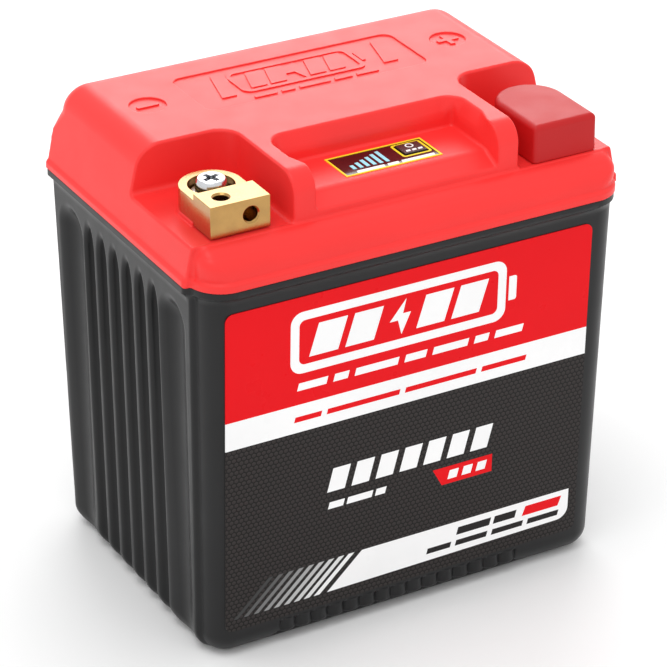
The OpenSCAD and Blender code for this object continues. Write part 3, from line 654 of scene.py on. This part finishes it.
base_colour = {m["slot"]: tuple(m["base_color"]) + (1,) for m in frame["record"]["materials"]}
paints = {
    "case_plastic": moulding("case_plastic", CASE_BLACK, 0.36, grain=0.35, depth=0.012, spread=0.12,
                             Specular_IOR_Level=0.3),
    "lid_plastic": moulding("lid_plastic", LID_RED, 0.34, grain=0.6, depth=0.004, spread=0.03,
                            Specular_IOR_Level=0.25),
    "seal_rubber": moulding("seal_rubber", base_colour["seal_rubber"], 0.6, grain=0.4),
    "label_film": printed("label_film", PRINT_RED),
    "indicator_yellow": printed("indicator_yellow", SUN_YELLOW),
    "indicator_lens": moulding("indicator_lens", (0.02, 0.004, 0.006, 1), 0.07, grain=2, depth=0.002,
                               IOR=1.6),
    "indicator_bars": printed("indicator_bars", (0.36, 0.78, 0.9, 1)),
    "button_plastic": moulding("button_plastic", (0.03, 0.02, 0.022, 1), 0.25, grain=0.3, depth=0.006),
    "black_component": moulding("black_component", base_colour["black_component"], 0.42, grain=0.2),
    "circuit_board": moulding("circuit_board", base_colour["circuit_board"], 0.28, grain=1.5, spread=0.18),
    "zinc_steel": machined("zinc_steel", base_colour["zinc_steel"], 0.3, (1, 1, 1)),
    "chromed_steel": machined("chromed_steel", (0.68, 0.69, 0.71, 1), 0.16, (1, 1, 1), depth=0.001,
                              spread=0.03),
    "terminal_brass": machined("terminal_brass", BRASS, 0.2, (1, 12, 1), spread=0.08,
                               Coat_Weight=0.6, Coat_Roughness=0.1),
    "copper": machined("copper", base_colour["copper"], 0.26, (1, 10, 1)),
    "cap_rubber": moulding("cap_rubber", CAP_RED, 0.42, grain=0.3, depth=0.008, spread=0.05,
                           Specular_IOR_Level=0.25),
    "foam": foam("foam", base_colour["foam"]),
    "holder_plastic": moulding("holder_plastic", base_colour["holder_plastic"], 0.5, grain=0.3),
    "nickel": machined("nickel", base_colour["nickel"], 0.3, (8, 1, 1)),
    "fish_paper": moulding("fish_paper", base_colour["fish_paper"], 0.75, grain=0.15, depth=0.03,
                           spread=0.14),
    "white_plastic": moulding("white_plastic", base_colour["white_plastic"], 0.4, grain=0.3),
    "lead_red": moulding("lead_red", base_colour["lead_red"], 0.4, grain=0.5),
    "cell_wrap": moulding("cell_wrap", base_colour["cell_wrap"], 0.24, grain=3, depth=0.02, spread=0.1),
}
label_red = paints["label_film"]
label_white = printed("label_white", WHITE)
label_dark = honeycomb("label_honeycomb", 1.85, (0.009, 0.008, 0.008, 1), (0.045, 0.038, 0.036, 1))
label_ink = printed("label_ink", (0.02, 0.018, 0.018, 1))

for part in frame["record"]["subparts"]:
    node = frame["nodes"][part["node"]]
    node.data.materials.clear()
    node.data.materials.append(paints[part["material_slot"]])


def fit(piece, slot, body="root", paint=None, replaced=()):
    """Gives a piece its finish and its body, and hides the CAD nodes that it stands for."""
    piece.data.materials.clear()
    piece.data.materials.append(paint or paints[slot])
    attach(piece, body)
    if replaced:
        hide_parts(*replaced)
    return piece


# ------------------------------------------------------------------ shells
lid_axes = (
    spaced((-84.4, -66, 0.65), (-66, -51, 0.4), (-51, -44, 0.65), (-44, -42, 0.25), (-42, 42, 0.65),
           (42, 44, 0.25), (44, 51, 0.65), (51, 66, 0.4), (66, 84.4, 0.65)),
    spaced((-64.4, 5, 0.65), (5, 7, 0.25), (7, 13, 0.65), (13, 28, 0.4), (28, 34.5, 0.65),
           (34.5, 36.3, 0.25), (36.3, 64.4, 0.65)),
    SEAM + spaced((-1, 1, 0.25), (1, 28.6, 0.6), (28.6, 31.4, 0.2)),
)
fit(moulded("lid_shell", lid_field, lid_axes, 0.3), "lid_plastic", replaced=["lid"])

case_axes = (
    spaced((-84.4, 84.4, 0.6)),
    spaced((-64.4, 64.4, 0.6)),
    spaced((-1, 11, 0.6), (11, 13, 1), (13, 117, 4), (117, 137, 1), (137, 143, 0.3)),
)
fit(moulded("case_shell", case_field, case_axes, 0.3), "case_plastic", replaced=["case"])

cap_axes = (
    spaced((CAP_LOW[0] - 1, CAP_HIGH[0] + 1, 0.4)),
    spaced((CAP_LOW[1] - 1, CAP_HIGH[1] + 1, 0.4)),
    spaced((CAP_LOW[2] - 1, CAP_HIGH[2] + 1, 0.4)),
)
fit(moulded("positive_cap_cover", cap_field, cap_axes, 0.4), "cap_rubber", "positive_cap",
    replaced=["positive_cap"])

# ------------------------------------------------------------------ label
BAND_LOW, BAND_HIGH = 82.7, 93.3
X0, X1 = LABEL_LOW[0], LABEL_HIGH[0]
Z0, Z1 = LABEL_LOW[2], LABEL_HIGH[2]
FILM = 0.32
INK = 0.345


def film(name, outline, paint):
    """A sheet on the front of the case."""
    return fit(plate(name, [[outline]], 0.03, FILM, front_place), "label_film", paint=paint)


def ink(name, shapes, paint):
    """Print on the label."""
    return fit(plate(name, shapes, FILM - 0.02, INK, front_place), "label_film", paint=paint)


def overprint(name, shapes, paint):
    """Print on print."""
    return fit(plate(name, shapes, INK - 0.02, INK + 0.005, front_place), "label_film", paint=paint)


film("label_upper_panel", rounded(X0, BAND_HIGH, X1, Z1, (0.01, 0.01, 3, 3)), label_red)
film("label_band", rounded(X0, BAND_LOW, X1, BAND_HIGH, (0.01,) * 4, 1), label_white)
lower = film("label_lower_panel", rounded(X0, Z0, X1, BAND_LOW, (3, 3, 0.01, 0.01)), label_dark)
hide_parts("front_label")


def greek(x0, x1, low, high, widths, gap):
    """A row of small bars in place of lettering."""
    scale = (x1 - x0 - gap * (len(widths) - 1)) / sum(widths)
    row, at = [], x0
    for w in widths:
        row.append([slanted(at, low, at + w * scale, high, 0.25 * (high - low))])
        at += w * scale + gap
    return row


def frame_outline(x0, y0, x1, y1, stroke, r):
    """A rounded frame, as its outside and its hole."""
    outer = rounded(x0, y0, x1, y1, (r,) * 4)
    inner = rounded(x0 + stroke, y0 + stroke, x1 - stroke, y1 - stroke, (r - stroke * 0.7,) * 4)
    return [outer, inner[::-1]]


def battery_sign(x0, y0, x1, y1, stroke, r, bars):
    """Outline of a battery with level bars and a bolt."""
    body = x1 - 1.3 * stroke
    mid = (y0 + y1) / 2
    room = stroke * 1.75
    sign = [frame_outline(x0, y0, body, y1, stroke, r)]
    nub = (y1 - y0) * 0.2
    sign.append([rounded(body + 0.35 * stroke, mid - nub, x1, mid + nub, (0.01, 0.8, 0.8, 0.01), 3)])
    low, high = y0 + room, y1 - room
    lean = (high - low) * 0.3
    left, right = x0 + room, body - room
    pitch = (right - left - lean) / bars
    middle = bars // 2
    for i in range(bars):
        if i != middle:
            a = left + i * pitch
            sign.append([slanted(a + 0.1 * pitch, low, a + 0.9 * pitch, high, lean)])
    centre = left + (middle + 0.5) * pitch + lean / 2
    sign.append([bolt(centre, mid, (high - low) * 0.56)])
    return sign


ink("label_sign", battery_sign(-48.6, 105, 38, 128, 3.2, 4.5, 5), label_white)
ink("label_sign_marks", greek(-46, 41, 98.6, 101.4, (4, 2, 6, 3, 5, 2, 4), 2.6), label_white)
ink("label_band_marks", greek(-47, 43, 86.7, 88.7, (4, 11, 11, 7), 2.2), label_red)
ink("label_level_marks", greek(-34, 29, 55.8, 64.8, (1,) * 7, 2.6), label_white)
ink("label_small_marks", greek(-33.6, -11.4, 49, 51.6, (3, 5, 2), 1.3), label_white)
ink("label_flag", [[[(11.3, 45.4), (31.4, 45.4), (31.4, 52.4), (7.5, 52.4)]]], label_red)
overprint("label_flag_marks", greek(13.5, 28.5, 47.2, 50.6, (1, 1, 1), 2), label_white)
ink("label_stripe", [[arc(64.3 - 4.5, 16.6 + 4.5, 4.5, 270, 360)
                      + [(64.3, 28.5), (-19.9, 28.5), (-33.4, 15.4)]]], label_white)
SLATS = 9
for i in range(SLATS):
    share = (i + 0.5) / SLATS
    x = -69.6 + i * 3.87
    tone = 0.04 + 0.9 * share ** 1.4
    ink(f"label_slat_{i + 1}", [[slanted(x, 15.4, x + 1.7 + 0.6 * share, 28.5, 13.5)]],
        printed(f"label_slat_{i + 1}", (tone, tone, tone, 1)))
stripe_rows = greek(18, 42, 23, 26, (3, 2), 1.5) + greek(6, 60, 18.6, 20.8, (3, 4, 4, 4), 2)
overprint("label_stripe_marks", stripe_rows, label_ink)
overprint("label_stripe_flag", [[slanted(45, 22.6, 60, 26.4, 1.4)]], label_red)

# ------------------------------------------------------------------ raised marks on the lid
BADGE_FLOOR = SEAM + LID_H - BADGE_DEPTH
raised = battery_sign(-25, 13.5, 25, 31.5, 1.7, 3.5, 5)
raised += greek(-34, -28.5, 13.5, 31.5, (1,), 1) + greek(29, 34.5, 13.5, 31.5, (1,), 1)
raised += greek(-24, 24, 8.6, 10.4, (5, 3, 7, 4, 5), 1.8)
fit(plate("lid_emblem", raised, BADGE_FLOOR - 0.1, BADGE_FLOOR + 0.42, level_place), "lid_plastic")


def sign_bar(cx, cy, length, width):
    """Outline of a minus sign."""
    return rounded(cx - length / 2, cy - width / 2, cx + length / 2, cy + width / 2, (0.3,) * 4, 3)


def plus_outline(cx, cy, length, width):
    """Outline of a plus sign."""
    a, b = length / 2, width / 2
    turn = [(a, -b), (a, b), (b, b), (b, a), (-b, a), (-b, b), (-a, b), (-a, -b), (-b, -b), (-b, -a),
            (b, -a), (b, -b)]
    return [(cx + u, cy + v) for u, v in turn]


MARK_FLOOR = SEAM + LID_H - MARK_DEPTH
fit(plate("minus_sign", [[sign_bar(-MARK_X, MARK_Y, 8, 1.8)]], MARK_FLOOR - 0.1, MARK_FLOOR + 0.5,
          level_place), "lid_plastic")
fit(plate("plus_sign", [[plus_outline(MARK_X, MARK_Y, 8, 1.8)]], MARK_FLOOR - 0.1, MARK_FLOOR + 0.5,
          level_place), "lid_plastic")

# ------------------------------------------------------------------ indicator
LENS_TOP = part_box("display_lens")[1][2] / MM
BUTTON_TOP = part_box("test_button")[1][2] / MM
fit(crisp("test_button", "button_cap", 0.3), "button_plastic", "test_button", replaced=["test_button"])
surround = frame_outline(BUTTON_X - 5.6, BUTTON_Y - 4.9, BUTTON_X + 5.6, BUTTON_Y + 4.9, 0.8, 1.2)
fit(plate("button_surround", [surround], LENS_TOP - 0.02, LENS_TOP + 0.06, level_place), "indicator_yellow")
fit(plate("display_marks", greek(-12.5, 17, -41.2, -39.3, (5, 2, 6), 1.2), LENS_TOP - 0.02, LENS_TOP + 0.03,
          level_place), "label_film", paint=label_white)
ring_y = BUTTON_Y + 1.4
button_signs = [[arc(BUTTON_X, ring_y, 1.5, 0, 342, 19), arc(BUTTON_X, ring_y, 1.0, 0, 342, 19)[::-1]]]
button_signs += greek(9.2, 15.4, -35.6, -34.4, (1, 1, 1), 0.7)
fit(plate("button_marks", button_signs, BUTTON_TOP - 0.02, BUTTON_TOP + 0.03, level_place), "label_film",
    "test_button", paint=label_white)

# ------------------------------------------------------------------ terminals
for side in ("negative", "positive"):
    fit(crisp(side + "_terminal", side + "_terminal_block", 0.25), "terminal_brass",
        replaced=[side + "_terminal"])
    fit(crisp(side + "_washer", side + "_washer_plate", 0.2), "zinc_steel", side + "_washer",
        replaced=[side + "_washer"])

SCREW_LOW, SCREW_HIGH = corners("negative_screw")
HEAD_R = (SCREW_HIGH[0] - SCREW_LOW[0]) / 2
HEAD_H = SCREW_HIGH[2] - corners("negative_washer")[1][2]
SHANK_R = 2.65
THREAD = 0.8


def screw_field(x, y, z):
    """Screw with a flared head and a cross recess, its axis at the origin and its top at zero."""
    out = np.hypot(x, y)
    flare = half_plane(out, z, HEAD_R, -1.7, 4.6, 0)
    head = both(both(both(out - HEAD_R, flare, 0.4), z, 0.35), -HEAD_H - z, 0.2)
    turn = math.radians(20)
    u, v = x * math.cos(turn) + y * math.sin(turn), y * math.cos(turn) - x * math.sin(turn)
    depth = 2.7 + z
    reach = 3.2 + 0.3 * z
    slots = np.minimum(both(abs(u) - 0.85, abs(v) - reach), both(abs(v) - 0.85, abs(u) - reach))
    slots = np.maximum(np.minimum(slots, out - 1.5), -depth)
    head = without(head, slots, 0.12)
    wave = np.mod(z / THREAD - np.arctan2(y, x) / (2 * math.pi), 1)
    ridge = 0.36 * np.abs(2 * wave - 1)
    shank = both(out - SHANK_R + ridge, SCREW_LOW[2] - SCREW_HIGH[2] - z, 0.4)
    return either(head, np.maximum(shank, z + HEAD_H - 0.5), 0.15)


screw_axes = (
    spaced((-6.2, 6.2, 0.2)),
    spaced((-6.2, 6.2, 0.2)),
    spaced((SCREW_LOW[2] - SCREW_HIGH[2] - 0.6, 0.6, 0.16)),
)
for side in ("negative", "positive"):
    low, high = corners(side + "_screw")
    axis = (low + high) / 2
    piece = moulded(side + "_screw_turned", screw_field, screw_axes, 0.5)
    mesh = piece.data
    mesh.transform(Matrix.Translation(Vector((axis[0], axis[1], high[2])) * MM))
    fit(piece, "chromed_steel", side + "_screw", replaced=[side + "_screw"])

# ------------------------------------------------------------------ camera, floor and light
AZIMUTH, ELEVATION, ROLL = math.radians(-29.4), math.radians(28.15), math.radians(0.15)
FOCAL_PX = 3140
back = Vector((math.sin(AZIMUTH) * math.cos(ELEVATION), -math.cos(AZIMUTH) * math.cos(ELEVATION),
               math.sin(ELEVATION)))
right = Vector((0, 0, 1)).cross(back).normalized()
up = back.cross(right)
right, up = (math.cos(ROLL) * right + math.sin(ROLL) * up, math.cos(ROLL) * up - math.sin(ROLL) * right)
camera = bpy.data.objects.new("camera", bpy.data.cameras.new("camera"))
camera.data.sensor_width = 36
camera.data.lens = 36 * FOCAL_PX / 667
camera.data.clip_end = 50
placed = Matrix((right, up, back)).transposed().to_4x4()
placed.translation = Vector((-0.47666, -0.84866, 0.60090))
camera.matrix_world = placed
bpy.context.scene.collection.objects.link(camera)
bpy.context.scene.camera = camera

floor_points = [(-6, -6, 0), (6, -6, 0), (6, 6, 0), (-6, 6, 0)]
floor = mesh_object("floor", [(x / MM, y / MM, z) for x, y, z in floor_points], [(0, 1, 2, 3)])
floor.data.materials.append(moulding("floor_paint", (0.93, 0.93, 0.93, 1), 0.8, grain=4, spread=0.002))


def soft_light(name, place, target, size, watts):
    """A round lamp that looks at a point."""
    lamp = bpy.data.lights.new(name, "AREA")
    lamp.shape, lamp.size, lamp.energy = "DISK", size, watts
    obj = bpy.data.objects.new(name, lamp)
    obj.location = place
    obj.rotation_euler = (Vector(place) - Vector(target)).to_track_quat("Z", "Y").to_euler()
    bpy.context.scene.collection.objects.link(obj)
    return obj


middle = (0, 0, 0.08)
soft_light("back_box", (0.75, 1.35, 0.95), middle, 1.3, 11)
soft_light("top_box", (-0.4, -0.2, 1.7), middle, 1.2, 7)

world = bpy.data.worlds.new("studio")
world.use_nodes = True
world.node_tree.nodes["Background"].inputs["Color"].default_value = (1, 1, 1, 1)
world.node_tree.nodes["Background"].inputs["Strength"].default_value = 0.95
bpy.context.scene.world = world
bpy.context.scene.view_settings.view_transform = "Standard"
